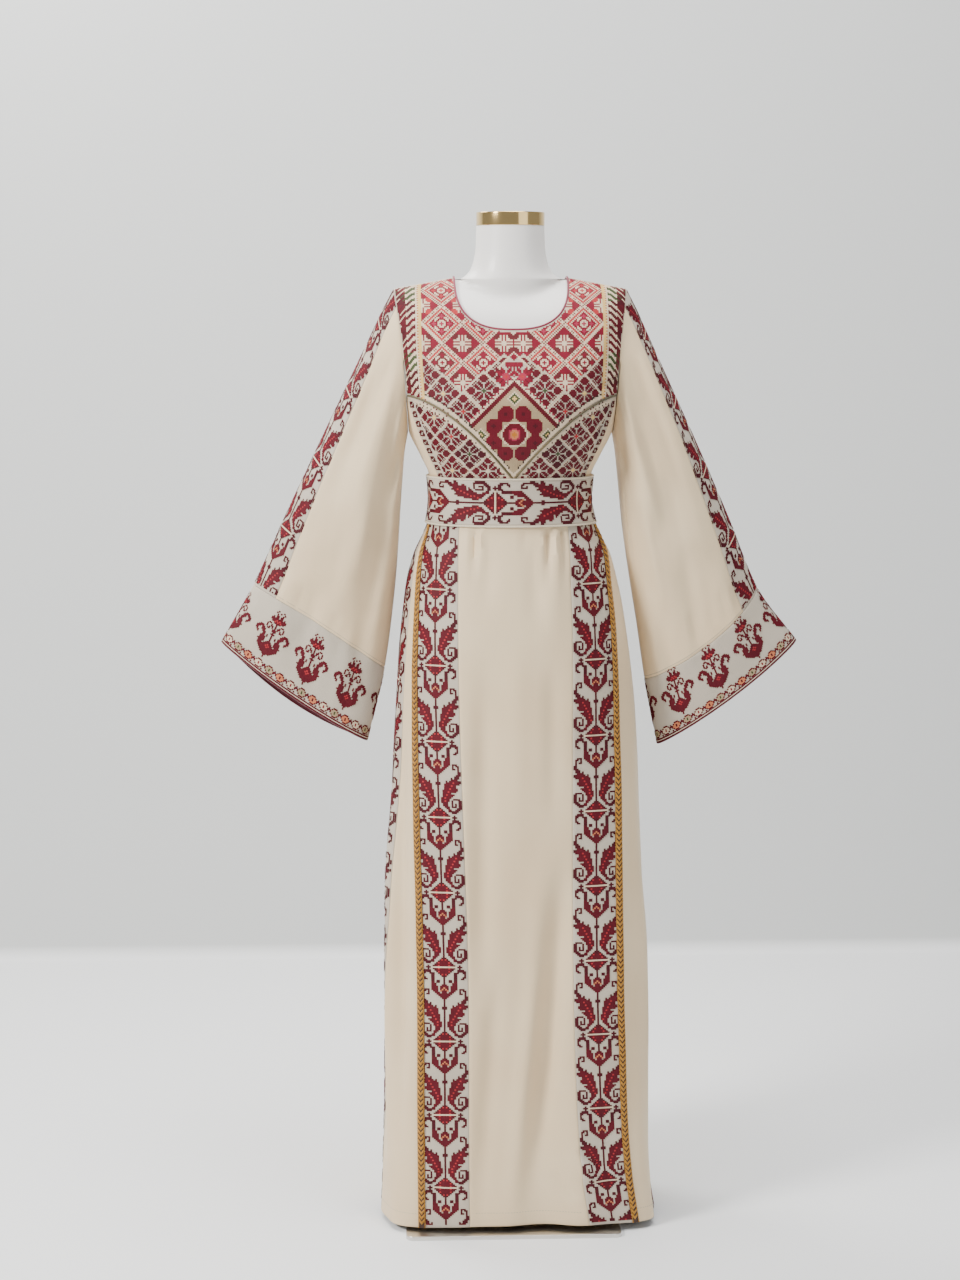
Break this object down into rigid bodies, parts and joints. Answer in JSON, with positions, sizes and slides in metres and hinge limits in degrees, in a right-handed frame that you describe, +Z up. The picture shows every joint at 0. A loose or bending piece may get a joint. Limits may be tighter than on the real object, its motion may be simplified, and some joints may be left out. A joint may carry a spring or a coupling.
{
  "type": "embroidered thobe robe on a limbless dress form",
  "caption": "Floor-length ivory robe with cross-stitched chest, belt, bands and wide cuffed sleeves, worn by a limbless dress form on a flat base plate.",
  "frame": {"origin": "centre of the underside of the base plate, on the floor", "axes": "+Z up, -Y towards the front of the robe, +X towards the wearer's left"},
  "size_m": [0.9175, 0.3551, 1.6],
  "materials": {
    "cream_cloth": "smooth crepe",
    "embroidered_cloth": "cross-stitched even-weave",
    "gold_braid": "braided thread",
    "piping": "covered cord",
    "rose_binding": "bias binding",
    "burgundy_facing": "satin facing",
    "form_shell": "satin",
    "brass": "polished",
    "steel": "polished"
  },
  "bodies": {
    "root": {"back_bodice": "cream_cloth", "side_panel_left": "cream_cloth", "side_panel_right": "cream_cloth", "skirt_centre": "cream_cloth", "skirt_side_left": "cream_cloth", "skirt_side_right": "cream_cloth", "skirt_back": "cream_cloth", "sleeve_front_left": "cream_cloth", "sleeve_front_right": "cream_cloth", "sleeve_back_left": "cream_cloth", "sleeve_back_right": "cream_cloth", "chest_panel": "embroidered_cloth", "lower_bodice": "embroidered_cloth", "belt": "embroidered_cloth", "skirt_band_left": "embroidered_cloth", "skirt_band_right": "embroidered_cloth", "side_band_left": "embroidered_cloth", "side_band_right": "embroidered_cloth", "sleeve_band_left": "embroidered_cloth", "sleeve_band_right": "embroidered_cloth", "cuff_left": "embroidered_cloth", "cuff_right": "embroidered_cloth", "skirt_braid_left": "gold_braid", "skirt_braid_right": "gold_braid", "belt_piping_top": "piping", "belt_piping_bottom": "piping", "neck_binding": "rose_binding", "cuff_facing_left": "burgundy_facing", "cuff_facing_right": "burgundy_facing", "form_torso": "form_shell", "neck_cap": "brass", "form_pole": "steel", "form_base": "steel"}
  },
  "joints": []
}
